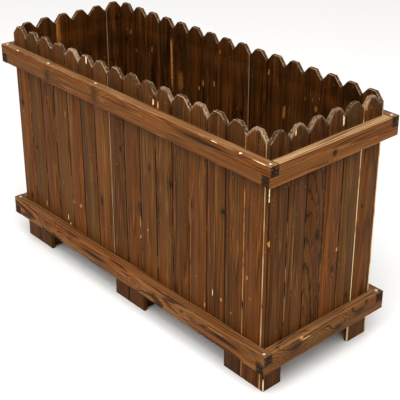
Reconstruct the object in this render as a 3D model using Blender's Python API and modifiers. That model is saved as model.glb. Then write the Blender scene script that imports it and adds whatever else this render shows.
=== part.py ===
"""Picket planter box of scorched softwood, open at the top and empty.

Metres, +Z up. The long side runs along X and the front faces -Y. The origin is on
the ground, under the middle of the box.
"""

import math

import bmesh
import bpy

# Overall size, measured over the rails
LENGTH = 1.000
DEPTH = 0.400

# Boards
RAIL_THICKNESS = 0.025
RAIL_HEIGHT = 0.048
PICKET_THICKNESS = 0.011
PICKET_GAP = 0.0009
TIP_CUT_ACROSS = 0.0185
TIP_CUT_DOWN = 0.0215
ARRIS = 0.0012

# Heights above the ground
BOTTOM_RAIL_UNDERSIDE = 0.070
TOP_RAIL_UNDERSIDE = 0.523
TIP_RISE = 0.054
SHORT_PICKET_BOTTOM = 0.074

# Each wall is a row of pickets, and the ones numbered here run down to the ground
LONG_WALL_PICKETS = 16
LONG_WALL_LEGS = (1, 2, 8, 9, 15, 16)
END_WALL_PICKETS = 6
END_WALL_LEGS = (1, 6)

# Floor: bearers from wall to wall under lengthwise boards
BEARER_WIDTH = 0.028
BEARER_BOTTOM = 0.004
BEARER_TOP = 0.062
END_BEARER_X = 0.374
MIDDLE_BEARER_X = 0.035
FLOOR_BOARDS = 5
FLOOR_BOARD_THICKNESS = 0.012
FLOOR_BOARD_GAP = 0.005
FLOOR_END_CLEARANCE = 0.002

# Pieces that touch keep this much air between their faces
TOUCH_GAP = 0.0003

# Worked out from the sizes above
WALL_X = LENGTH / 2 - RAIL_THICKNESS
WALL_Y = DEPTH / 2 - RAIL_THICKNESS
TIP_TOP = TOP_RAIL_UNDERSIDE + RAIL_HEIGHT + TIP_RISE
LONG_WALL_RUN = 2 * WALL_X - PICKET_THICKNESS
END_WALL_RUN = 2 * WALL_Y - PICKET_THICKNESS
INSIDE_X = WALL_X - PICKET_THICKNESS
INSIDE_Y = WALL_Y - PICKET_THICKNESS


def clear_scene():
    for thing in list(bpy.data.objects):
        bpy.data.objects.remove(thing, do_unlink=True)


def new_collection(name):
    collection = bpy.data.collections.new(name)
    bpy.context.scene.collection.children.link(collection)
    return collection


def wood(name, colour, roughness):
    material = bpy.data.materials.new(name)
    material.use_nodes = True
    shader = material.node_tree.nodes["Principled BSDF"]
    shader.inputs["Base Color"].default_value = (*colour, 1.0)
    shader.inputs["Roughness"].default_value = roughness
    shader.inputs["Metallic"].default_value = 0.0
    return material


def plank_mesh(name, length, width, height):
    """A sawn plank whose mesh is centred in plan and stands on its own origin."""
    mesh = bpy.data.meshes.new(name)
    bm = bmesh.new()
    bmesh.ops.create_cube(bm, size=1.0)
    bmesh.ops.scale(bm, vec=(length, width, height), verts=bm.verts)
    bmesh.ops.translate(bm, vec=(0, 0, height / 2), verts=bm.verts)
    bm.to_mesh(mesh)
    bm.free()
    return mesh


def saw_off(bm, point, normal):
    """Cut everything past a plane away and close the cut face."""
    everything = bm.verts[:] + bm.edges[:] + bm.faces[:]
    cut = bmesh.ops.bisect_plane(bm, geom=everything, plane_co=point, plane_no=normal,
                                 clear_outer=True)
    rim = [item for item in cut["geom_cut"] if isinstance(item, bmesh.types.BMEdge)]
    bmesh.ops.contextual_create(bm, geom=rim)


def picket_mesh(name, width, height):
    """A plank on end with a slanting saw cut across each of its top corners."""
    mesh = plank_mesh(name, width, PICKET_THICKNESS, height)
    bm = bmesh.new()
    bm.from_mesh(mesh)
    for side in (-1, 1):
        flat_end = (side * (width / 2 - TIP_CUT_ACROSS), 0, height)
        saw_off(bm, flat_end, (side * TIP_CUT_DOWN, 0, TIP_CUT_ACROSS))
    bm.to_mesh(mesh)
    bm.free()
    return mesh


def add_piece(name, mesh, material, collection, location, turn=0.0):
    """One board as its own object, with its sharp corners taken off."""
    mesh.materials.clear()
    mesh.materials.append(material)
    piece = bpy.data.objects.new(name, mesh)
    piece.location = location
    piece.rotation_euler = (0, 0, turn)
    collection.objects.link(piece)
    arris = piece.modifiers.new("arris", "BEVEL")
    arris.width = ARRIS
    arris.segments = 1
    arris.limit_method = "ANGLE"
    return piece


def add_wall(wall, count, legs, run, place, turn, materials, collection):
    """A row of pickets. place turns a distance along the wall into a point in plan."""
    pitch = run / count
    width = pitch - PICKET_GAP
    short = picket_mesh("short_" + wall, width, TIP_TOP - SHORT_PICKET_BOTTOM)
    leg = picket_mesh("leg_" + wall, width, TIP_TOP)
    for number in range(1, count + 1):
        is_leg = number in legs
        x, y = place(pitch * (number - 0.5))
        bottom = 0.0 if is_leg else SHORT_PICKET_BOTTOM
        name = f"{wall}_picket_{number:02d}"
        mesh = (leg if is_leg else short).copy()
        add_piece(name, mesh, materials[number % len(materials)], collection, (x, y, bottom), turn)


def add_walls(materials, collection):
    """Four walls, each of which covers the next one's edge, like a pinwheel."""
    middle_x = WALL_X - PICKET_THICKNESS / 2
    middle_y = WALL_Y - PICKET_THICKNESS / 2
    quarter = math.pi / 2
    add_wall("front", LONG_WALL_PICKETS, LONG_WALL_LEGS, LONG_WALL_RUN - TOUCH_GAP,
             lambda along: (along - WALL_X, -middle_y), 0.0, materials, collection)
    add_wall("right", END_WALL_PICKETS, END_WALL_LEGS, END_WALL_RUN - TOUCH_GAP,
             lambda along: (middle_x, along - WALL_Y), quarter, materials, collection)
    add_wall("back", LONG_WALL_PICKETS, LONG_WALL_LEGS, LONG_WALL_RUN - TOUCH_GAP,
             lambda along: (WALL_X - along, middle_y), 2 * quarter, materials, collection)
    add_wall("left", END_WALL_PICKETS, END_WALL_LEGS, END_WALL_RUN - TOUCH_GAP,
             lambda along: (-middle_x, WALL_Y - along), 3 * quarter, materials, collection)


def add_cutter(name, size, location, collection):
    mesh = plank_mesh(name, *size)
    cutter = bpy.data.objects.new(name, mesh)
    cutter.location = location
    cutter.hide_render = True
    cutter.display_type = "WIRE"
    collection.objects.link(cutter)
    return cutter


def cut_lap(rail, cutter):
    """Put the saw cut before the arris in the rail's stack of modifiers."""
    lap = rail.modifiers.new(cutter.name, "BOOLEAN")
    lap.operation = "DIFFERENCE"
    lap.solver = "EXACT"
    lap.object = cutter
    rail.modifiers.move(len(rail.modifiers) - 1, 0)


def add_frame(level, underside, material, collection, cutters):
    """Four rails round the walls, half-lapped at the corners.

    A long rail keeps its upper half at the corner and an end rail its lower half.
    """
    half = RAIL_HEIGHT / 2
    reach = 2 * RAIL_THICKNESS
    saw = (reach, reach, RAIL_HEIGHT)
    above = underside + half - TOUCH_GAP / 2
    below = underside - half + TOUCH_GAP / 2
    rail_y = DEPTH / 2 - RAIL_THICKNESS / 2 + TOUCH_GAP / 2
    rail_x = LENGTH / 2 - RAIL_THICKNESS / 2 + TOUCH_GAP / 2
    rail_wide = RAIL_THICKNESS - TOUCH_GAP
    for side, sign in (("front", -1), ("back", 1)):
        name = f"{level}_{side}_rail"
        mesh = plank_mesh(name, LENGTH, rail_wide, RAIL_HEIGHT)
        rail = add_piece(name, mesh, material, collection, (0, sign * rail_y, underside))
        for end in (-1, 1):
            place = (end * (WALL_X + reach / 2), sign * rail_y, below)
            lap = "left" if end < 0 else "right"
            cut_lap(rail, add_cutter(f"{name}_{lap}_lap", saw, place, cutters))
    for side, sign in (("left", -1), ("right", 1)):
        name = f"{level}_{side}_rail"
        mesh = plank_mesh(name, rail_wide, DEPTH, RAIL_HEIGHT)
        rail = add_piece(name, mesh, material, collection, (sign * rail_x, 0, underside))
        for end in (-1, 1):
            place = (sign * rail_x, end * (WALL_Y + reach / 2), above)
            lap = "front" if end < 0 else "back"
            cut_lap(rail, add_cutter(f"{name}_{lap}_lap", saw, place, cutters))


def add_floor(material, collection):
    bearer_long = 2 * (INSIDE_Y - TOUCH_GAP)
    bearer_tall = BEARER_TOP - BEARER_BOTTOM
    bearers = (("left", -END_BEARER_X), ("middle", MIDDLE_BEARER_X), ("right", END_BEARER_X))
    for place, x in bearers:
        name = f"{place}_bearer"
        mesh = plank_mesh(name, BEARER_WIDTH, bearer_long, bearer_tall)
        add_piece(name, mesh, material, collection, (x, 0, BEARER_BOTTOM))
    board_long = 2 * (INSIDE_X - FLOOR_END_CLEARANCE)
    board_pitch = (2 * INSIDE_Y - FLOOR_BOARD_GAP) / FLOOR_BOARDS
    board_wide = board_pitch - FLOOR_BOARD_GAP
    for number in range(1, FLOOR_BOARDS + 1):
        y = board_pitch * (number - (FLOOR_BOARDS + 1) / 2)
        name = f"floor_board_{number}"
        mesh = plank_mesh(name, board_long, board_wide, FLOOR_BOARD_THICKNESS)
        add_piece(name, mesh, material, collection, (0, y, BEARER_TOP + TOUCH_GAP))


def build():
    clear_scene()
    box = new_collection("picket_planter_box")
    cutters = new_collection("cutters")
    picket_woods = (
        wood("scorched_picket_dark", (0.105, 0.045, 0.020), 0.55),
        wood("scorched_picket_brown", (0.165, 0.072, 0.030), 0.55),
        wood("scorched_picket_red", (0.200, 0.078, 0.028), 0.55),
    )
    rail_wood = wood("scorched_rail", (0.270, 0.125, 0.052), 0.5)
    floor_wood = wood("scorched_floor", (0.085, 0.040, 0.020), 0.7)
    add_walls(picket_woods, box)
    add_frame("top", TOP_RAIL_UNDERSIDE, rail_wood, box, cutters)
    add_frame("bottom", BOTTOM_RAIL_UNDERSIDE, rail_wood, box, cutters)
    add_floor(floor_wood, box)


build()
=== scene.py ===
import math
import random

import bmesh
import bpy
from mathutils import Matrix, Vector, noise


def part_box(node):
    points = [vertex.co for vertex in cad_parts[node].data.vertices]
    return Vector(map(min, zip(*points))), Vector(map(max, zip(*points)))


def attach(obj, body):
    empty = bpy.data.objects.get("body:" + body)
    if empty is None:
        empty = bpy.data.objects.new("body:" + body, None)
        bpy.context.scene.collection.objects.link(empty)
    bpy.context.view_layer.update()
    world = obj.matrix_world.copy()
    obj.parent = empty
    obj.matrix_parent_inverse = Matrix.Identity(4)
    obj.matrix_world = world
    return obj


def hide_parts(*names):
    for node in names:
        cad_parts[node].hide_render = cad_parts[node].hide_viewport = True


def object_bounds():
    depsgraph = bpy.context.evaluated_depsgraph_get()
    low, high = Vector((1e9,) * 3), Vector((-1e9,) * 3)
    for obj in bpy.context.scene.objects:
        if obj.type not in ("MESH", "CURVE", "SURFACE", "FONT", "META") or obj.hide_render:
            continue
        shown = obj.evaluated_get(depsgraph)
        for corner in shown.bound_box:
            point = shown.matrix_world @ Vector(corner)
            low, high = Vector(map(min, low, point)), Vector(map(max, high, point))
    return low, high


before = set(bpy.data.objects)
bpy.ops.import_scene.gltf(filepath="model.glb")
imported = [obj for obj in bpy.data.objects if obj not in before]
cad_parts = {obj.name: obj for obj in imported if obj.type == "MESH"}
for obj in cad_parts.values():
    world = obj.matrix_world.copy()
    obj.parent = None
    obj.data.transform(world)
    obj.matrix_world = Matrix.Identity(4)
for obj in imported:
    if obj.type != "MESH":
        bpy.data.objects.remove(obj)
cad_low, cad_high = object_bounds()


# Rail frames
# Eight rails of planed softwood, scorched with a flame, brushed and oiled. Two rings of four go round
# the walls. They are half-lapped at the corners: a long rail keeps its upper half, an end rail its lower.

MM = 0.001
UP = Vector((0, 0, 1))
OUTWARD = {
    "front": Vector((0, -1, 0)),
    "right": Vector((1, 0, 0)),
    "back": Vector((0, 1, 0)),
    "left": Vector((-1, 0, 0)),
}

LAP_LENGTH = 25 * MM
LAP_GAP = 0.3 * MM
RAIL_ARRIS = 1.6 * MM
RAIL_WOBBLE = 0.25 * MM
LOOP_SPACING = 40 * MM
WOBBLE_LENGTH = 90 * MM
ARRIS_ANGLE = math.radians(25)
SHARP_ANGLE = math.radians(35)


def linear(hex_colour):
    """An sRGB hex colour as the linear values that a shader wants."""
    channels = []
    for at in (1, 3, 5):
        value = int(hex_colour[at:at + 2], 16) / 255
        channels.append(value / 12.92 if value <= 0.04045 else ((value + 0.055) / 1.055) ** 2.4)
    return (*channels, 1.0)


def add(tree, kind, inputs=(), out=0, stops=(), **settings):
    """One node with its settings and links. It gives back the socket that the result comes out of.

    An input is a value, or the socket that the value comes from. stops are a colour ramp's places and
    colours.
    """
    node = tree.nodes.new("ShaderNode" + kind)
    for name, value in settings.items():
        setattr(node, name, value)
    for place, value in dict(inputs).items():
        if isinstance(value, bpy.types.NodeSocket):
            tree.links.new(value, node.inputs[place])
        else:
            node.inputs[place].default_value = value
    for position, _ in stops[1:-1]:
        node.color_ramp.elements.new(position)
    for number, (position, colour) in enumerate(stops):
        element = node.color_ramp.elements[number]
        element.position = position
        element.color = linear(colour)
    return node.outputs[out]


# What the eye sees in the wood, as (length along the grain, width across it) in millimetres. The first
# three bend the year rings, the next three make the wood lighter and darker, and the rest steer thin
# lines, reddish streaks, rubbed arrises and chips. Real fibres are finer than a pixel, so they are drawn
# 3 mm wide.
GRAIN_PATTERNS = {
    "bend": (420, 160),
    "ripple": (80, 30),
    "crinkle": (24, 9),
    "streak": (700, 13),
    "patch": (150, 45),
    "fibre": (180, 3),
    "line": (900, 24),
    "hue": (500, 24),
    "rub": (45, 60),
    "speck": (6, 4),
}

# How far the patterns push the year rings out of round, and how often the rings' spacing drifts
RING_BEND = 20 * MM
RING_RIPPLE = 5 * MM
RING_CRINKLE = 12 * MM
RING_DRIFT = 14 * MM
DRIFTS_PER_METRE = 45.0

# How ragged the rim of a knot or a chip is, in the mark's own half sizes
MARK_RAGGED = 1.1
CHIP_TORN = 1.2


def board_fields(tree):
    """The patterns of the solid grain, and what each board says about itself."""
    fields = {}
    for name in ("grain", "edges", "cuts", "looks", "growth", "arris", "face"):
        vector = add(tree, "Attribute", out="Vector", attribute_name=name)
        fields[name] = vector
        for axis, part in zip("xyz", add(tree, "SeparateXYZ", {0: vector}).node.outputs):
            fields[f"{name}_{axis}"] = part
    for name, (along, across) in GRAIN_PATTERNS.items():
        scale = (1 / (along * MM), 1 / (across * MM), 1 / (across * MM))
        place = add(tree, "VectorMath", {0: fields["grain"], 1: scale}, operation="MULTIPLY")
        fields[name] = add(tree, "TexNoise", {"Vector": place, "Scale": 1.0, "Detail": 2.0})
    return fields


def board_marks(tree, fields, marks):
    """A mark is a round knot where its strength is above zero, and a long pale chip below."""
    found = {}
    ragged = add(tree, "Math", {0: fields["fibre"], 1: MARK_RAGGED, 2: -MARK_RAGGED / 2},
                 operation="MULTIPLY_ADD")
    torn = add(tree, "Math", {0: fields["speck"], 1: CHIP_TORN, 2: -CHIP_TORN / 2},
               operation="MULTIPLY_ADD")
    torn = add(tree, "Math", {0: torn, 1: ragged}, operation="ADD")
    for name in marks:
        mark = add(tree, "Attribute", out="Vector", attribute_name=name)
        strength = add(tree, "SeparateXYZ", {0: mark}, out="Z")
        flat = add(tree, "VectorMath", {0: mark, 1: (1, 1, 0)}, operation="MULTIPLY")
        squared = add(tree, "VectorMath", {0: flat, 1: flat}, operation="MULTIPLY")
        boxy = add(tree, "VectorMath", {0: squared}, operation="LENGTH", out="Value")
        boxy = add(tree, "Math", {0: boxy}, operation="SQRT")
        boxy = add(tree, "Math", {0: boxy, 1: torn}, operation="ADD")
        around = add(tree, "VectorMath", {0: flat}, operation="LENGTH", out="Value")
        around = add(tree, "Math", {0: around, 1: ragged}, operation="ADD")
        knot = add(tree, "Math", {0: strength, 1: 0.0}, operation="MAXIMUM")
        grown = add(tree, "Math", {0: strength, 1: 0.01}, operation="GREATER_THAN")
        chip = add(tree, "Math", {0: strength, 1: -1.0}, operation="MULTIPLY", use_clamp=True)

        # Each part fades from its middle to its rim, which are in the mark's own half sizes
        for part, away, amount, rim, middle in (
                ("core", around, knot, 1.15, 0.5), ("halo", around, knot, 2.2, 1.0),
                ("swell", around, grown, 4.5, 0.0), ("chip", boxy, chip, 1.0, 0.6)):
            shape = add(tree, "MapRange", {"Value": away, "From Min": rim, "From Max": middle},
                        interpolation_type="SMOOTHSTEP")
            shape = add(tree, "Math", {0: shape, 1: amount}, operation="MULTIPLY")
            if part in found:
                shape = add(tree, "Math", {0: found[part], 1: shape}, operation="MAXIMUM")
            found[part] = shape
    return found


def year_rings(tree, fields, swell, spacing):
    """Thin dark latewood lines round a pith that wanders, each with its own depth."""
    bend = add(tree, "VectorMath", {0: fields["bend"].node.outputs["Color"], 1: (0.5, 0.5, 0.5)},
               operation="SUBTRACT")
    bend = add(tree, "VectorMath", {0: bend, 1: (0, RING_BEND, RING_BEND)}, operation="MULTIPLY")
    place = add(tree, "VectorMath", {0: fields["grain"], 1: bend}, operation="ADD")
    across = add(tree, "VectorMath", {0: place, 1: (0, 1, 1)}, operation="MULTIPLY")
    radius = add(tree, "VectorMath", {0: across}, operation="LENGTH", out="Value")
    radius = add(tree, "Math", {0: radius, 1: swell}, operation="ADD")
    radius = add(tree, "Math", {0: fields["ripple"], 1: RING_RIPPLE, 2: radius}, operation="MULTIPLY_ADD")
    crinkle = add(tree, "Math", {0: fields["crinkle"], 1: fields["growth_x"]}, operation="MULTIPLY")
    radius = add(tree, "Math", {0: crinkle, 1: RING_CRINKLE, 2: radius}, operation="MULTIPLY_ADD")
    drift = add(tree, "TexNoise", {"W": radius, "Scale": DRIFTS_PER_METRE, "Detail": 1.0},
                noise_dimensions="1D")
    radius = add(tree, "Math", {0: drift, 1: RING_DRIFT, 2: radius}, operation="MULTIPLY_ADD")
    count = add(tree, "Math", {0: radius, 1: spacing}, operation="DIVIDE")
    season = add(tree, "Math", {0: count}, operation="FRACT")
    late = add(tree, "ValToRGB", {0: season}, stops=(
        (0.0, "#000000"), (0.5, "#303030"), (0.82, "#ffffff"), (0.95, "#000000")))
    year = add(tree, "Math", {0: count}, operation="FLOOR")
    depth = add(tree, "TexWhiteNoise", {"W": year}, noise_dimensions="1D")
    depth = add(tree, "MapRange", {"Value": depth, "To Min": 0.2, "To Max": 1.0})
    return add(tree, "Math", {0: late, 1: depth}, operation="MULTIPLY")


# A Mix node has the same names on several sockets, so those that mix colours go by their numbers
MIX_UNDER = 6
MIX_OVER = 7
MIX_RESULT = 2

# Heights between which soot and painted shade come or go. Painted shade, with soot, starts below the
# top rails and ends behind them, soot lies on the tips above them, and painted shade with soot lies on
# the feet
top_rail_low, top_rail_high = (corner[2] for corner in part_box("top_front_rail"))
bottom_rail_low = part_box("bottom_front_rail")[0][2]
SHADED_SHELTER_START = (top_rail_low - 43 * MM, top_rail_low - 3 * MM)
SHADED_SHELTER_END = (top_rail_low + 37 * MM, top_rail_low + 7 * MM)
SOOTY_TIPS = (top_rail_high - 3 * MM, top_rail_high + 9 * MM)
SOOT_AND_SHADE_FEET = (bottom_rail_low + 6 * MM, bottom_rail_low - 4 * MM)


def scorched_pine(name, tones, rings, ring_depth, swelling, streak, patch, fibre, lines,
                  burnt_joint, thickness, cut_colour, cut_rim_wear_and_highlight, tip_rim_wear_and_highlight, wear_and_highlight_colour, marks):
    """Softwood that was scorched, brushed and oiled: streaky, fibrous and only faintly shiny.

    The pattern is solid. Every board carries its own place in a log, so year rings run as straight
    lines, as tall arches or, on a cut end, as arcs. rings is their spacing, and swelling is how far a
    knot pushes them aside. The values from streak to burnt_joint are the strengths of the patterns and
    of the soot in the joints. The two rim values are how pale the edges of a sawn end and of a tip's
    outline are: worn wood with a painted highlight where the edge catches the light. Their pale colour
    also paints the sheen on a rail's top face.
    """
    material = bpy.data.materials.new(name)
    material.use_nodes = True
    tree = material.node_tree
    shader = tree.nodes["Principled BSDF"]
    fields = board_fields(tree)
    found = board_marks(tree, fields, marks)
    swell = add(tree, "Math", {0: found["swell"], 1: swelling}, operation="MULTIPLY")
    late = year_rings(tree, fields, swell, rings)

    # The board's own tone, with streaks, patches from the flame, fibres and rings on it
    tone = fields["looks_x"]
    for pattern, strength in (("streak", streak), ("patch", patch), ("fibre", fibre)):
        swing = add(tree, "Math", {0: fields[pattern], 1: strength, 2: -strength / 2},
                    operation="MULTIPLY_ADD")
        tone = add(tree, "Math", {0: tone, 1: swing}, operation="ADD")
    ring = add(tree, "Math", {0: late, 1: fields["growth_y"]}, operation="MULTIPLY")
    tone = add(tree, "Math", {0: ring, 1: -ring_depth, 2: tone}, operation="MULTIPLY_ADD", use_clamp=True)
    colour = add(tree, "ValToRGB", {0: tone}, stops=tones)
    darkest = tones[0][1]
    dark = tones[1][1]
    lightest = tones[-1][1]

    # What the layers are steered by. Lines follow two contours of one slow pattern, so that a light
    # line runs beside a dark one.
    for name, level in (("dark_line", 0.50), ("light_line", 0.54)):
        away = add(tree, "Math", {0: fields["line"], 1: level}, operation="SUBTRACT")
        fields[name] = add(tree, "Math", {0: away}, operation="ABSOLUTE")
    red = add(tree, "Math", {0: fields["hue"], 1: fields["looks_y"]}, operation="ADD")
    joint = add(tree, "Math", {0: fields["edges_x"], 1: fields["edges_y"]}, operation="MINIMUM")
    near_cut = add(tree, "Math", {0: fields["cuts_x"], 1: fields["cuts_y"]}, operation="MINIMUM")
    near_cut = add(tree, "Math", {0: near_cut, 1: fields["cuts_z"]}, operation="MINIMUM")
    height = add(tree, "SeparateXYZ", {0: add(tree, "TexCoord", out="Object")}, out="Z")
    outer_skin = (fields["edges_z"], 2.0 * MM, 1.0 * MM)
    outer_corner = (fields["edges_z"], 4.5 * MM, 3.0 * MM)
    inner_skin = (fields["edges_z"], thickness - 3.0 * MM, thickness - 1.5 * MM)
    sawn, inside, soot_and_shade = fields["face_x"], fields["face_y"], fields["arris_z"]
    clean = (soot_and_shade, 0.6, 0.15)

    # Each layer is a colour, how it is laid on, and the factors of its amount. A factor written as
    # (value, none, full) grows from 0 to 1 as the value goes from none to full. The arrises come first:
    # some were rubbed down to pale wood, and on the rails and a few pickets the pale is also a painted
    # highlight where the edge catches the light. Below zero, it is the arris inside the box.
    arrises = []
    for side, name in (("edges_x", "arris_x"), ("edges_y", "arris_y")):
        near = (fields[side], 2.0 * MM, 0.9 * MM)
        rubbed_and_lit = add(tree, "Math", {0: fields[name], 1: 0.45, 2: fields["rub"]}, operation="MULTIPLY_ADD")
        inner = add(tree, "Math", {0: fields[name], 1: -1.0}, operation="MULTIPLY", use_clamp=True)
        arrises += [
            ("#b07a45", "MIX", near, outer_corner, (rubbed_and_lit, 0.62, 0.80), (fields[name], 0.0, 0.7)),
            ("#d8bd90", "MIX", near, outer_corner, (rubbed_and_lit, 0.80, 1.00), (fields[name], 0.7, 1.1)),
            ("#9c8a6c", "MIX", near, inner_skin, inner),
        ]
    layers = (
        # Long thin lines that stayed dark, with light ones that the brush laid bare beside them
        (darkest, "MIX", lines, (fields["dark_line"], 0.024, 0.008)),
        (lightest, "MIX", 0.5 * lines, (fields["light_line"], 0.014, 0.004)),
        # Light early wood that shows between the rings of some boards
        (lightest, "MIX", fields["growth_z"], (late, 0.18, 0.02)),
        # Reddish and olive streaks, more of one or the other by the board's warmth
        ("#8a4b1d", "COLOR", 0.6, (red, 0.96, 1.14)),
        ("#664a25", "COLOR", 0.5, (red, 0.98, 0.80)),
        # Knots are charred in the middle and have a darker cloud round them
        ("#3a2611", "MIX", 0.5, found["halo"]),
        ("#171009", "MIX", 0.8, found["core"]),
        # Painted shade, with soot, in the shelter under the top rails, and on the feet and the floor
        # timbers
        ("#1f1107", "MIX", soot_and_shade, (height, *SHADED_SHELTER_START), (height, *SHADED_SHELTER_END)),
        ("#1f1107", "MIX", 0.2, (height, *SOOT_AND_SHADE_FEET)),
        # The joints kept soot and shade, and the arrises beside them were rubbed pale, with painted
        # highlights on some
        ("#180c05", "MIX", burnt_joint, outer_skin, (joint, 2.4 * MM, 0.6 * MM)),
        *arrises,
        # Sawn faces are rough, with pale rims and dots that are worn wood with painted highlights, and
        # torn and worn fibres lie beside them. On a rail's top face the fibre layer paints a sheen, with
        # wear.
        (cut_colour, "MIX", 0.9, sawn),
        (wear_and_highlight_colour, "MIX", cut_rim_wear_and_highlight, sawn, (fields["edges_z"], 2.8 * MM, 0.8 * MM),
         (fields["rub"], 0.38, 0.54), (fields["speck"], 0.34, 0.52), clean),
        (wear_and_highlight_colour, "MIX", 0.7 * cut_rim_wear_and_highlight, sawn, inner_skin, (fields["rub"], 0.58, 0.44), clean),
        (wear_and_highlight_colour, "MIX", 0.6 * cut_rim_wear_and_highlight, sawn, (fields["speck"], 0.56, 0.66)),
        (dark, "MIX", 0.6 * cut_rim_wear_and_highlight, sawn, (fields["speck"], 0.46, 0.36)),
        (wear_and_highlight_colour, "MIX", tip_rim_wear_and_highlight, outer_skin, (near_cut, 1.8 * MM, 0.9 * MM),
         (fields["rub"], 0.40, 0.58), (fields["speck"], 0.30, 0.46), clean),
        (wear_and_highlight_colour, "MIX", fields["face_z"], (near_cut, 7.0 * MM, 0.5 * MM),
         (fields["fibre"], 0.36, 0.58)),
        # Soot on the tips
        ("#1f1107", "MIX", soot_and_shade, (height, *SOOTY_TIPS)),
        # The side that faces into the box was left unbrushed and dark, with a few light streaks
        ("#d2c3ac", "MULTIPLY", inside),
        ("#8a5a2c", "MIX", 0.4, inside, (fields["streak"], 0.58, 0.74), (fields["patch"], 0.48, 0.62)),
        ("#0c0603", "MIX", 0.6, inside, (fields["streak"], 0.46, 0.30)),
        ("#0c0603", "MIX", 0.5, inside, (fields["patch"], 0.46, 0.32)),
        # Chips and specks where the scorched skin came off
        ("#a8692f", "MIX", found["chip"], inside),
        ("#bd8449", "MIX", (inside, 1.0, 0.0), (found["chip"], 0.0, 0.7)),
        ("#ecdab2", "MIX", (inside, 1.0, 0.0), (found["chip"], 0.7, 1.0)),
        ("#b98a58", "MIX", 0.5, (fields["speck"], 0.70, 0.77)),
    )
    for over, blend, *factors in layers:
        amount = 1.0
        for factor in factors:
            if isinstance(factor, tuple):
                value, none, full = factor
                factor = add(tree, "MapRange", {"Value": value, "From Min": none, "From Max": full},
                             interpolation_type="SMOOTHSTEP")
            amount = add(tree, "Math", {0: amount, 1: factor}, operation="MULTIPLY")
        inputs = {"Factor": amount, MIX_UNDER: colour, MIX_OVER: linear(over)}
        colour = add(tree, "Mix", inputs, out=MIX_RESULT, data_type="RGBA", blend_type=blend)

    # Charred and brushed wood is matt, and what gloss it has is brown
    tree.links.new(colour, shader.inputs["Base Color"])
    rough = add(tree, "MapRange", {"Value": fields["fibre"], "From Min": 0.3, "From Max": 0.7,
                                   "To Min": 0.5, "To Max": 0.7})
    tree.links.new(rough, shader.inputs["Roughness"])
    shader.inputs["Specular IOR Level"].default_value = 0.06
    shader.inputs["Specular Tint"].default_value = linear("#c99a6c")
    relief = add(tree, "Math", {0: late, 1: 0.5, 2: fields["fibre"]}, operation="MULTIPLY_ADD")
    relief = add(tree, "Math", {0: relief, 1: found["core"]}, operation="SUBTRACT")
    bump = add(tree, "Bump", {"Height": relief, "Strength": 0.6, "Distance": 0.8 * MM})
    tree.links.new(bump, shader.inputs["Normal"])
    return material


# A board keeps each of its knots and chips in an attribute of its own
RAIL_MARKS = tuple(f"mark_{number}" for number in range(1, 10))

rail_wood = scorched_pine(
    "scorched_brushed_pine_rail",
    ((0.0, "#291408"), (0.3, "#4a2911"), (0.52, "#693f1d"), (0.75, "#87552a"), (1.0, "#ab7946")),
    rings=6.5 * MM, ring_depth=0.34, swelling=26 * MM, streak=0.3, patch=0.25, fibre=0.4, lines=0.4,
    burnt_joint=0.0, thickness=25 * MM, cut_colour="#160b07", cut_rim_wear_and_highlight=0.2, tip_rim_wear_and_highlight=0.0,
    wear_and_highlight_colour="#ae8b63", marks=RAIL_MARKS)


def board_axes(along, outward):
    """A board lies along X, is wide along Y and faces outward along Z before it is placed."""
    return Matrix((along, outward.cross(along), outward)).transposed()


def node_size(node, turn):
    """The middle of a board, and how long, wide and thick it is."""
    low, high = (Vector(corner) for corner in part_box(node))
    span = turn.transposed() @ (high - low)
    return (low + high) / 2, Vector([abs(side) for side in span])


def sawn_plank(size):
    """A square-edged plank that the saws and planes start from."""
    bm = bmesh.new()
    bmesh.ops.create_cube(bm, size=1.0)
    bmesh.ops.scale(bm, vec=size, verts=bm.verts)
    return bm


def ease_arrises(bm, offset):
    """Round the edges of the two broad faces. The saw left the others sharp."""
    edges = [edge for edge in bm.edges
             if edge.is_convex and edge.calc_face_angle(0.0) > ARRIS_ANGLE
             and any(abs(face.normal.z) > 0.9 for face in edge.link_faces)]
    bmesh.ops.bevel(bm, geom=edges, offset=offset, segments=2, affect="EDGES", profile=0.5,
                    material=-1, clamp_overlap=True)


def cut_loops(bm):
    """Loops every few centimetres let a board bow and its edges wander."""
    reach = max(vertex.co.x for vertex in bm.verts)
    count = int(2 * reach / LOOP_SPACING)
    for step in range(1, count):
        everything = bm.verts[:] + bm.edges[:] + bm.faces[:]
        place = (-reach + 2 * reach * step / count, 0, 0)
        bmesh.ops.bisect_plane(bm, geom=everything, plane_co=place, plane_no=(1, 0, 0))


# How a board looks where its own list says nothing else. flat is the chance that it was sawn flat, and
# knots the chance of each knot that marks doesn't place. Chips are on its outer side, unless it is
# chipped_inside. pale is how far its two arrises were rubbed down, and on some it is also a painted
# highlight where the edge catches the light. Its soot value is how much soot stayed on it and how dark
# the painted shade under its top rail is, and torn is how ragged the saw left its ends. crinkle, rings
# and light are how far its year rings crinkle, how dark they are, and how light the wood between them is.
USUAL_LOOKS = {
    "flat": 0.4, "knots": 0.3, "marks": (), "chipped_inside": False,
    "pale": (0.25, 0.25), "soot_and_shade": 0.0, "torn": 0.0,
    "crinkle": 0.0, "rings": 1.0, "light": 0.0,
}

# Where the pith lies, in millimetres from the middle of a board: behind a board that was sawn flat,
# whose rings show as arches, or off to one side, where they show as straight lines
FLAT_PITH = ((-14, 14), (18, 45))
SIDE_PITH = ((45, 90), (-15, 15))

# How much a log tapers over its length, and how far along the grain, in metres, a board may start
TAPER = (0.01, 0.05)
LOG_LENGTH = 40

# A knot that no list places: where on the board it may lie, its radius in millimetres, and how much
# longer than wide it is
KNOT_FIELD = (0.45, 0.35)
KNOT_RADIUS = (3, 6)
KNOT_STRETCH = 1.8

# A distance in metres from a saw cut that isn't there, which is past all that a cut does to the wood
NO_CUT = 1.0


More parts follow.
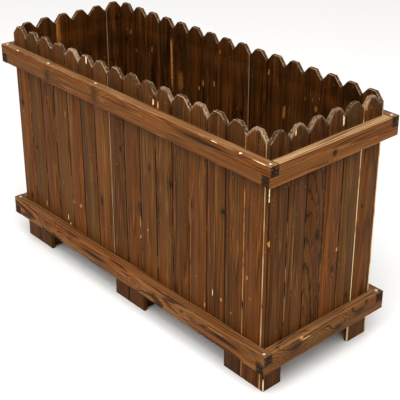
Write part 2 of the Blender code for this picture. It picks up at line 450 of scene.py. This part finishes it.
def mark_board(bm, chance, size, looks, marks, cuts=None):
    """Write what the wood's material reads: the grain, the edges, the saw cuts, the marks and the looks.

    A mark is (along, across, half its length, half its width, strength), in millimetres from the
    middle of the board. The places across run on round the edges, as if the board were unrolled. cuts
    gives the distances from the saw cuts; without it, the upper edge counts as the cut.
    """
    looks = {**USUAL_LOOKS, **looks}
    if chance.random() < looks["flat"]:
        across, behind = FLAT_PITH
        side = 1
    else:
        across, behind = SIDE_PITH
        side = chance.choice((-1, 1))
    pith = Vector((0, side * chance.uniform(*across), chance.uniform(*behind))) * MM
    if "pith" in looks:
        pith = Vector((0, *looks["pith"])) * MM
    taper = looks.get("taper", chance.uniform(*TAPER))
    log_start = chance.uniform(0, LOG_LENGTH)
    names = ("grain", "edges", "cuts", "looks", "growth", "arris") + marks
    layers = {name: bm.verts.layers.float_vector.new(name) for name in names}
    found = list(looks["marks"])
    while len(found) < len(marks):
        strength = 1.0 if chance.random() < looks["knots"] else 0.0
        place = [chance.uniform(-share, share) * span / MM for share, span in zip(KNOT_FIELD, size.xy)]
        radius = chance.uniform(*KNOT_RADIUS)
        found.append((*place, radius * KNOT_STRETCH, radius, strength))
    chipped_side = -1 if looks["chipped_inside"] else 1
    for vertex in bm.verts:
        x, y, z = vertex.co
        vertex[layers["grain"]] = Vector((x + log_start, y, z + taper * x)) + pith
        vertex[layers["edges"]] = Vector((size.y / 2 + y, size.y / 2 - y, size.z / 2 - z))
        vertex[layers["cuts"]] = cuts(vertex.co) if cuts else Vector((NO_CUT, NO_CUT, size.y / 2 - y))
        vertex[layers["looks"]] = Vector((looks["tone"], looks["warmth"], 0))
        vertex[layers["growth"]] = Vector((looks["crinkle"], looks["rings"], looks["light"]))
        vertex[layers["arris"]] = Vector((*looks["pale"], looks["soot_and_shade"]))
        unrolled = y + math.copysign(size.z / 2 - chipped_side * z, y)
        for name, (along, across, long, wide, strength) in zip(marks, found):
            # A knot goes through the board, but a chip on one broad face doesn't show on the other
            if strength < 0 and z * chipped_side < 0 and abs(across) * MM < size.y / 2:
                strength = 0.0
            place = Vector(((x / MM - along) / long, (unrolled / MM - across) / wide, strength))
            vertex[layers[name]] = place
    face_layer = bm.faces.layers.float_vector.new("face")
    for face in bm.faces:
        is_end = 1.0 if abs(face.normal.x) > 0.4 else 0.0
        faces_in = 1.0 if face.normal.z < -0.5 else 0.0
        # The third value is how ragged a tip's sawn ends are, and on a rail's top face how pale the top
        # is: wear with a painted sheen
        torn_and_sheen = looks["torn"]
        if face.normal.y > 0.5:
            torn_and_sheen = looks.get("worn_and_sheen_top", torn_and_sheen)
        face[face_layer] = Vector((is_end, faces_in, torn_and_sheen))
        face.smooth = True


# Each board starts somewhere along the noise. Its two edges and its outer face follow a row of their
# own there, and the face follows its row more slowly.
NOISE_LENGTH = 50
EDGE_ROW = 3.0
FACE_ROW = 9.0
FACE_RATE = 0.4


def wander(bm, chance, wobble):
    """Pull the edges and the outer face in a little, never past the board's own size."""
    start = chance.uniform(0, NOISE_LENGTH)
    for vertex in bm.verts:
        along = vertex.co.x / WOBBLE_LENGTH + start
        edge = noise.noise(Vector((along, math.copysign(EDGE_ROW, vertex.co.y), 0)))
        vertex.co.y -= math.copysign(wobble * (0.5 + 0.5 * edge), vertex.co.y)
        if vertex.co.z > 0:
            face = noise.noise(Vector((along * FACE_RATE, FACE_ROW, 0)))
            vertex.co.z -= wobble * (0.5 + 0.5 * face)


def face_outwards(bm):
    """The signed volume tells when the operator took the inside of a shape for its outside."""
    bmesh.ops.recalc_face_normals(bm, faces=bm.faces)
    if bm.calc_volume(signed=True) < 0:
        bmesh.ops.reverse_faces(bm, faces=bm.faces)


def place_board(bm, name, turn, centre, material):
    """The finished mesh goes to its place in the box, with the object itself at the origin."""
    face_outwards(bm)
    bm.transform(Matrix.Translation(centre) @ turn.to_4x4())
    mesh = bpy.data.meshes.new(name)
    bm.to_mesh(mesh)
    bm.free()
    mesh.set_sharp_from_angle(angle=SHARP_ANGLE)
    mesh.materials.append(material)
    board = bpy.data.objects.new(name, mesh)
    bpy.context.scene.collection.objects.link(board)
    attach(board, "root")
    return board


def cut_tongues(bm, upper):
    """Let the upper or the lower half of a rail run on past its shoulder at both ends."""
    side = 1 if upper else -1
    everything = bm.verts[:] + bm.edges[:] + bm.faces[:]
    bmesh.ops.bisect_plane(bm, geom=everything, plane_co=(0, side * LAP_GAP / 2, 0),
                           plane_no=(0, 1, 0))
    for end in (-1, 1):
        half = [face for face in bm.faces
                if face.normal.x * end > 0.9 and face.calc_center_median().y * side > LAP_GAP]
        tongue = bmesh.ops.extrude_discrete_faces(bm, faces=half)
        corners = {vertex for face in tongue["faces"] for vertex in face.verts}
        bmesh.ops.translate(bm, vec=(end * LAP_LENGTH, 0, 0), verts=list(corners))


# How each rail came out. tone and warmth are how light and how red the flame left it. The top value is
# how pale its top face is, worn wood with a painted sheen, and pale is for its lower and then its upper
# arris, rubbed wood with a painted highlight where the edge catches the light.
PLAIN_RAIL = {
    "tone": 0.50, "warmth": 0.5, "worn_and_sheen_top": 0.35, "pale": (0.2, 0.2), "flat": 0.0, "knots": 0.45,
}
RAIL_LOOKS = {
    "top_front_rail": {
        "tone": 0.48, "warmth": 0.51, "worn_and_sheen_top": 0.4, "pale": (0.3, 0.28), "knots": 0.0,
        "rings": 0.7, "light": 0.05, "marks": (
            (-285, -4, 12, 20, 0.6), (-85, 3, 14, 22, 0.6), (300, 11, 80, 6, 0.9),
            (-424, 28, 7, 3, -0.9), (-291, 34, 5, 4, -1.0), (-98, 40, 5, 4, -0.9),
            # The last mark is a painted highlight along the upper arris near the corner, laid on as a
            # long pale chip
            (336, 24, 12, 1.5, -0.9), (413, 26, 4, 3, -1.0), (470, 24, 24, 1.5, -0.9))},
    "top_right_rail": {
        "tone": 0.57, "warmth": 0.5, "worn_and_sheen_top": 1.0, "pale": (0.75, 0.2), "knots": 0.0, "marks": (
            (-10, -2, 7, 6, 1.0), (60, 14, 60, 2, 0.5))},
    "bottom_front_rail": {
        "tone": 0.45, "warmth": 0.57, "worn_and_sheen_top": 0.1, "flat": 1.0, "knots": 0.0, "rings": 1.6,
        "light": 0.25, "marks": (
            (-337, 7, 12, 7, 0.6), (-130, 0, 64, 5, 1.0), (43, -3, 9, 5, 0.25),
            (266, 2, 8, 5, 0.3), (370, 3, 62, 5, 1.0), (345, 11, 40, 1, -0.5))},
    "bottom_right_rail": {
        "tone": 0.45, "warmth": 0.52, "worn_and_sheen_top": 0.3, "pale": (0.5, 0.2), "knots": 0.0, "rings": 1.5,
        "light": 0.1, "marks": (
            (-83, 24, 7, 5, -0.7), (-100, 6, 24, 12, 0.8), (40, -6, 15, 7, 0.8), (112, 4, 20, 8, 0.6),
            (-68, 15, 22, 1.2, -0.9))},
}

for level in ("top", "bottom"):
    for side, outward in OUTWARD.items():
        node = f"{level}_{side}_rail"
        turn = board_axes(UP.cross(outward), outward)
        centre, size = node_size(node, turn)
        looks = {**PLAIN_RAIL, **RAIL_LOOKS.get(node, {})}
        chance = random.Random(node)
        bm = sawn_plank(size - Vector((2 * LAP_LENGTH, 0, 0)))
        cut_tongues(bm, upper=side in ("front", "back"))
        ease_arrises(bm, RAIL_ARRIS)
        cut_loops(bm)
        mark_board(bm, chance, size, looks, RAIL_MARKS)
        wander(bm, chance, RAIL_WOBBLE)
        rail = place_board(bm, node + "_board", turn, centre, rail_wood)
        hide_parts(node)


# Pickets
# Planed softwood boards with both top corners sawn off, nailed to the rails from inside. Their
# outsides were scorched and brushed; the sides that face into the box were left dark.

# The sawn corners of a tip, how far each of those cuts slipped, and how low and how slanting the sawn
# top may be
TIP_CUT_ACROSS = 18.5 * MM
TIP_CUT_DOWN = 21.5 * MM
TIP_CUT_SLIP = 1.2 * MM
TIP_DROP = 2.5 * MM
TIP_TILT = 0.05
PICKET_ARRIS = 0.8 * MM
PICKET_WOBBLE = 0.3 * MM

PICKET_MARKS = RAIL_MARKS[:4]

picket_wood = scorched_pine(
    "scorched_brushed_pine_picket",
    ((0.0, "#1d0d04"), (0.26, "#3b210e"), (0.5, "#573518"), (0.74, "#764821"), (1.0, "#9c6634")),
    rings=7.0 * MM, ring_depth=0.22, swelling=14 * MM, streak=0.4, patch=0.2, fibre=0.45, lines=0.42,
    burnt_joint=0.8, thickness=11 * MM, cut_colour="#4c3826", cut_rim_wear_and_highlight=0.9, tip_rim_wear_and_highlight=0.8,
    wear_and_highlight_colour="#c4a685", marks=PICKET_MARKS)

# How each board took the flame: its tone, and how red it is rather than olive
FLAME = {
    "dark": (0.44, 0.50),
    "brown": (0.52, 0.5),
    "olive": (0.48, 0.42),
    "red": (0.52, 0.58),
    "warm": (0.60, 0.56),
}

# The boards of each wall, from left to right as it is seen from outside
WALLS = {
    "front": ("warm", "olive", "red", "brown", "warm", "olive", "warm", "dark",
              "red", "brown", "brown", "dark", "red", "olive", "dark", "red"),
    "right": ("dark", "dark", "dark", "warm", "olive", "warm"),
    "back": ("brown", "dark", "warm", "brown", "dark", "red", "dark", "brown",
             "warm", "dark", "brown", "olive", "dark", "warm", "dark", "brown"),
    "left": ("brown", "dark", "red", "warm", "dark", "brown"),
}

# How much soot each wall kept, which also sets how dark its painted shade under the top rail is, and the
# walls whose chips are on the side that faces into the box
SOOT_AND_SHADE = {"front": 0.3, "right": 0.45, "back": 0.3, "left": 0.3}
CHIPPED_INSIDE = ("back", "left")

# Boards that stand out. pale is for the right and then the left arris, below zero where it is the one
# inside the box. A mark is (height above the ground, place to the right of the middle, half its height,
# half its width, strength), in millimetres. One board has its pith and the taper of its rings given, for
# the tall dark arches that run up it.
PICKET_LOOKS = {
    "front_picket_01": {"pale": (0.3, 0.1)},
    "front_picket_02": {"marks": ((139, 17, 9, 2, -0.6),)},
    "front_picket_04": {"marks": (
        (138, 3, 9, 1.6, -0.9), (122, 12, 3, 3, -1.0), (441, 17, 9, 1.5, -0.4))},
    "front_picket_05": {"pale": (0.1, 0.3), "torn": 0.7, "marks": (
        (196, -24, 4, 4, -0.4), (196, 7, 6, 4, -0.5))},
    "front_picket_06": {"marks": ((613, 5, 11, 3, -1.0),)},
    "front_picket_07": {"marks": ((250, -14, 15, 5, 1.0),)},
    "front_picket_08": {"pale": (0.2, 1.2)},
    "front_picket_09": {"marks": (
        (253, 24, 16, 1.2, -0.6), (213, 24, 5, 1.6, -0.8), (296, 24, 14, 7, 0.6))},
    "front_picket_10": {"marks": ((412, 4, 10, 4, 0.9), (582, 25, 9, 4, -0.9), (244, -6, 3, 3, -0.5))},
    "front_picket_11": {"torn": 0.4, "marks": (
        (319, -22, 14, 3, 0.9), (399, 24, 12, 7, 0.9), (580, -18, 9, 3, -0.8))},
    "front_picket_13": {"pale": (0.2, 0.75), "torn": 0.5, "marks": (
        (376, -22, 12, 3, 0.9), (133, 22, 8, 2, -0.6))},
    "front_picket_14": {"pale": (0.1, 0.1), "marks": (
        (180, -10, 10, 1.3, -0.9), (174, 18, 5, 3, -0.5), (398, 22, 10, 7, 1.0))},
    "front_picket_15": {"pale": (0.7, 0.1), "marks": ((155, -8, 3, 3, -0.4),)},
    # Its right arris is the near corner, and its pale there is a painted highlight where the corner
    # catches the light
    "front_picket_16": {"pale": (0.9, 0.1), "torn": 0.6, "marks": ((270, -18, 5, 2, -0.6),)},
    "right_picket_01": {"pale": (0.1, 0.0), "marks": (
        (376, -25, 9, 5, -0.5), (492, -28, 30, 2, -1.2), (114, 24, 18, 6, 0.7), (16, -28, 18, 2, -1.0))},
    "right_picket_02": {"pale": (0.1, 0.4), "torn": 0.5, "marks": (
        (609, -14, 9, 2, -0.85), (300, -8, 80, 1.2, -0.3))},
    "right_picket_03": {
        "torn": 0.4, "pith": (-22, 40), "taper": 0.12, "crinkle": 0.5, "rings": 1.9, "marks": (
            (344, 12, 17, 7, 1.0),)},
    "right_picket_04": {"tone": 0.55, "pale": (0.2, 0.3), "torn": 0.4, "marks": (
        (594, 20, 13, 3, -1.0), (280, 24, 5, 3, -0.6))},
    "right_picket_05": {"pale": (0.1, 0.2)},
    "right_picket_06": {"tone": 0.54, "pale": (0.3, 1.1), "torn": 0.7, "marks": (
        (608, -20, 13, 5, -0.35),)},
    "back_picket_01": {"pale": (0.1, 1.2)},
    "back_picket_04": {"marks": ((529, -19, 8, 5, -0.5), (544, 16, 6, 2, -0.3), (548, -7, 5, 2, -0.3))},
    "back_picket_05": {"marks": ((490, 24, 18, 4, -0.7),)},
    "back_picket_06": {"marks": ((578, 20, 8, 3, -0.9),)},
    "back_picket_08": {"pale": (-0.1, -0.8)},
    "back_picket_09": {"marks": ((583, 20, 6, 3, -0.6),)},
    "back_picket_10": {"marks": ((481, 24, 9, 3, -0.9), (491, -19, 7, 3, -0.8))},
    "back_picket_11": {"marks": ((462, -18, 6, 4, -0.8),)},
    "back_picket_12": {"marks": ((460, -2, 30, 14, -0.35),)},
    "back_picket_13": {"marks": ((500, -24, 75, 5, -0.9),)},
    "back_picket_14": {"pale": (-0.5, -0.1), "marks": ((520, 2, 9, 3, -0.6),)},
    "back_picket_15": {"marks": ((499, 14, 6, 4, -0.4),)},
    "back_picket_16": {"marks": ((547, -22, 10, 4, -0.4),)},
    "left_picket_01": {"pale": (-0.9, -0.1)},
    "left_picket_04": {"marks": ((575, 20, 40, 9, -0.4), (585, 23, 26, 3, -0.8))},
}


def saw_off(bm, point, normal):
    """Cut everything past a plane away and close the cut face."""
    everything = bm.verts[:] + bm.edges[:] + bm.faces[:]
    cut = bmesh.ops.bisect_plane(bm, geom=everything, plane_co=point, plane_no=normal,
                                 clear_outer=True)
    rim = [item for item in cut["geom_cut"] if isinstance(item, bmesh.types.BMEdge)]
    bmesh.ops.contextual_create(bm, geom=rim)


for side, outward in OUTWARD.items():
    turn = board_axes(UP, outward)
    for number, flame in enumerate(WALLS[side], start=1):
        node = f"{side}_picket_{number:02d}"
        chance = random.Random(node)
        centre, size = node_size(node, turn)
        bm = sawn_plank(size)
        top = size.x / 2 - chance.uniform(0, TIP_DROP)
        saw_off(bm, (top, 0, 0), (1, 0, chance.uniform(-TIP_TILT, TIP_TILT)))
        planes = []
        for edge in (-1, 1):
            across = TIP_CUT_ACROSS + chance.uniform(-TIP_CUT_SLIP, TIP_CUT_SLIP)
            down = TIP_CUT_DOWN + chance.uniform(-TIP_CUT_SLIP, TIP_CUT_SLIP)
            corner = Vector((top, edge * (size.y / 2 - across), 0))
            normal = Vector((across, edge * down, 0)).normalized()
            saw_off(bm, corner, normal)
            planes.append((corner, normal))
        ease_arrises(bm, PICKET_ARRIS)
        cut_loops(bm)
        tone, warmth = FLAME[flame]
        looks = {"tone": tone, "warmth": warmth, "soot_and_shade": SOOT_AND_SHADE[side],
                 "chipped_inside": side in CHIPPED_INSIDE}
        looks.update(PICKET_LOOKS.get(node, {}))
        looks["marks"] = [(height - centre.z / MM, -right, high, wide, strength)
                          for height, right, high, wide, strength in looks.get("marks", ())]
        mark_board(bm, chance, size, looks, PICKET_MARKS, cuts=lambda point: Vector(
            [normal.dot(corner - point) for corner, normal in planes] + [top - point.x]))
        wander(bm, chance, PICKET_WOBBLE)
        picket = place_board(bm, node + "_board", turn, centre, picket_wood)
        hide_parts(node)


# Floor
# Three rough bearers run from wall to wall behind the legs, and five boards lie on them with gaps
# that let water out. They are given a dark tone, which is painted shade for the deep shadow under and
# inside the box.

FLOOR_ARRIS = 1.0 * MM
FLOOR_WOBBLE = 0.2 * MM
SHADED_FLOOR_LOOKS = {"tone": 0.22, "warmth": 0.5, "flat": 0.6}

for node in sorted(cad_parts):
    if node.endswith("_bearer"):
        turn = board_axes(Vector((0, 1, 0)), UP)
    elif node.startswith("floor_board"):
        turn = board_axes(Vector((1, 0, 0)), UP)
    else:
        continue
    chance = random.Random(node)
    centre, size = node_size(node, turn)
    bm = sawn_plank(size)
    ease_arrises(bm, FLOOR_ARRIS)
    cut_loops(bm)
    mark_board(bm, chance, size, SHADED_FLOOR_LOOKS, PICKET_MARKS)
    wander(bm, chance, FLOOR_WOBBLE)
    timber = place_board(bm, node + "_timber", turn, centre, picket_wood)
    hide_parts(node)


# Corner screws
# A zinc-plated screw goes down through each lapped corner. Its low domed head, 9 mm across with a
# cross recess, stands on the top face of the rail.

HEAD_RADIUS = 4.5 * MM
HEAD_HEIGHT = 1.6 * MM
HEAD_SIDES = 32
HEAD_STEPS = 6
SUNK = 0.6 * MM
RECESS_REACH = 2.3 * MM
RECESS_HALF_WIDTH = 0.6 * MM
RECESS_DEPTH = 1.1 * MM
WELD = 0.01 * MM
ZINC_BLOTCH = 1.2 * MM

# Zinc plate on steel: a bright, slightly blotchy metal
zinc = bpy.data.materials.new("zinc_plated_steel")
zinc.use_nodes = True
zinc_tree = zinc.node_tree
zinc_shader = zinc_tree.nodes["Principled BSDF"]
zinc_place = add(zinc_tree, "TexCoord", out="Object")
zinc_stain = add(zinc_tree, "TexNoise", {"Vector": zinc_place, "Scale": 1 / ZINC_BLOTCH, "Detail": 3.0})
zinc_colour = add(zinc_tree, "ValToRGB", {0: zinc_stain}, stops=((0.35, "#b9b2a2"), (0.65, "#e8e3d8")))
zinc_rough = add(zinc_tree, "MapRange", {"Value": zinc_stain, "To Min": 0.22, "To Max": 0.42})
zinc_tree.links.new(zinc_colour, zinc_shader.inputs["Base Color"])
zinc_tree.links.new(zinc_rough, zinc_shader.inputs["Roughness"])
zinc_shader.inputs["Metallic"].default_value = 1.0


def screw_head():
    """A dome turned from its profile, with the driver's cross pressed into it."""
    bm = bmesh.new()
    profile = [Vector((HEAD_RADIUS, 0, -SUNK))]
    for step in range(HEAD_STEPS + 1):
        angle = math.pi / 2 * step / HEAD_STEPS
        profile.append(Vector((HEAD_RADIUS * math.cos(angle), 0, HEAD_HEIGHT * math.sin(angle))))
    points = [bm.verts.new(point) for point in profile]
    line = [bm.edges.new(pair) for pair in zip(points, points[1:])]
    bmesh.ops.spin(bm, geom=points + line, cent=(0, 0, 0), axis=(0, 0, 1), angle=math.tau,
                   steps=HEAD_SIDES, use_merge=True)
    bmesh.ops.remove_doubles(bm, verts=bm.verts, dist=WELD)
    open_rim = [edge for edge in bm.edges if edge.is_boundary]
    bmesh.ops.contextual_create(bm, geom=open_rim)
    for away in (RECESS_REACH, RECESS_HALF_WIDTH):
        for normal in ((1, 0, 0), (-1, 0, 0), (0, 1, 0), (0, -1, 0)):
            everything = bm.verts[:] + bm.edges[:] + bm.faces[:]
            bmesh.ops.bisect_plane(bm, geom=everything, plane_co=Vector(normal) * away, plane_no=normal,
                                   dist=WELD)
    cross = []
    for face in bm.faces:
        x, y, z = face.calc_center_median()
        short, long = sorted((abs(x), abs(y)))
        if z > 0 and short < RECESS_HALF_WIDTH and long < RECESS_REACH:
            cross.append(face)
    edges = {edge for face in cross for edge in face.edges}
    pressed = bmesh.ops.extrude_face_region(bm, geom=cross + list(edges))["geom"]
    corners = [item for item in pressed if isinstance(item, bmesh.types.BMVert)]
    bmesh.ops.translate(bm, vec=(0, 0, -RECESS_DEPTH), verts=corners)
    face_outwards(bm)
    return bm


for level in ("top", "bottom"):
    rail_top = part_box(f"{level}_front_rail")[1]
    screw_x = rail_top[0] - LAP_LENGTH / 2
    screw_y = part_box(f"{level}_right_rail")[1][1] - LAP_LENGTH / 2
    for end, x in (("left", -screw_x), ("right", screw_x)):
        for side, y in (("front", -screw_y), ("back", screw_y)):
            name = f"{level}_{side}_{end}_corner_screw"
            bm = screw_head()
            spin = Matrix.Rotation(random.Random(name).uniform(0, math.pi / 2), 4, "Z")
            bm.transform(Matrix.Translation((x, y, rail_top[2])) @ spin)
            mesh = bpy.data.meshes.new(name)
            bm.to_mesh(mesh)
            bm.free()
            mesh.shade_smooth()
            mesh.set_sharp_from_angle(angle=SHARP_ANGLE)
            mesh.materials.append(zinc)
            screw = bpy.data.objects.new(name, mesh)
            bpy.context.scene.collection.objects.link(screw)
            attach(screw, "root")


# Setting
# A plain pale floor under a white dome, and one wide soft light from above and in front, so that the
# two walls in view are lit alike. The camera stands where the photograph was taken from.

FLOOR_SIZE = 24.0
FLOOR_DROP = 0.2 * MM
DOME_STRENGTH = 0.85

floor_bm = bmesh.new()
bmesh.ops.create_grid(floor_bm, x_segments=1, y_segments=1, size=FLOOR_SIZE / 2)
bmesh.ops.translate(floor_bm, vec=(0, 0, cad_low.z - FLOOR_DROP), verts=floor_bm.verts)
floor_mesh = bpy.data.meshes.new("studio_floor")
floor_bm.to_mesh(floor_mesh)
floor_bm.free()
floor_paint = bpy.data.materials.new("matt_white_paint")
floor_paint.use_nodes = True
floor_shader = floor_paint.node_tree.nodes["Principled BSDF"]
floor_shader.inputs["Base Color"].default_value = linear("#f4f3f1")
floor_shader.inputs["Roughness"].default_value = 0.9
floor_shader.inputs["Specular IOR Level"].default_value = 0.1
floor_mesh.materials.append(floor_paint)
floor = bpy.data.objects.new("studio_floor", floor_mesh)
bpy.context.scene.collection.objects.link(floor)

world = bpy.data.worlds.new("white_dome")
world.use_nodes = True
dome = world.node_tree.nodes["Background"]
dome.inputs["Color"].default_value = linear("#ffffff")
dome.inputs["Strength"].default_value = DOME_STRENGTH
bpy.context.scene.world = world

CAMERA_PLACE = Vector((1.6906, -1.4339, 1.3980))
CAMERA_AZIMUTH = math.radians(48.56)
CAMERA_ELEVATION = math.radians(24.79)
FOCAL_LENGTH = 88.03
SENSOR = 36.0
SHIFT_Y = -0.125

LAMP_AZIMUTH = math.radians(40)
LAMP_ELEVATION = math.radians(60)
LAMP_AWAY = 3.0
LAMP_SIZE = 2.6
LAMP_POWER = 90


def direction(azimuth, elevation):
    """From the box towards a place round it, with azimuth 0 in front of the long side."""
    level = math.cos(elevation)
    return Vector((math.sin(azimuth) * level, -math.cos(azimuth) * level, math.sin(elevation)))


lamp_data = bpy.data.lights.new("overhead_softbox", "AREA")
lamp_data.shape = "SQUARE"
lamp_data.size = LAMP_SIZE
lamp_data.energy = LAMP_POWER
lamp = bpy.data.objects.new("overhead_softbox", lamp_data)
lamp.location = direction(LAMP_AZIMUTH, LAMP_ELEVATION) * LAMP_AWAY
lamp.rotation_euler = direction(LAMP_AZIMUTH, LAMP_ELEVATION).to_track_quat("Z", "Y").to_euler()
bpy.context.scene.collection.objects.link(lamp)

camera_data = bpy.data.cameras.new("photo_camera")
camera_data.lens = FOCAL_LENGTH
camera_data.sensor_width = SENSOR
camera_data.shift_y = SHIFT_Y
camera = bpy.data.objects.new("photo_camera", camera_data)
camera.location = CAMERA_PLACE
camera.rotation_euler = direction(CAMERA_AZIMUTH, CAMERA_ELEVATION).to_track_quat("Z", "Y").to_euler()
bpy.context.scene.collection.objects.link(camera)
bpy.context.scene.camera = camera
bpy.context.scene.view_settings.view_transform = "Standard"
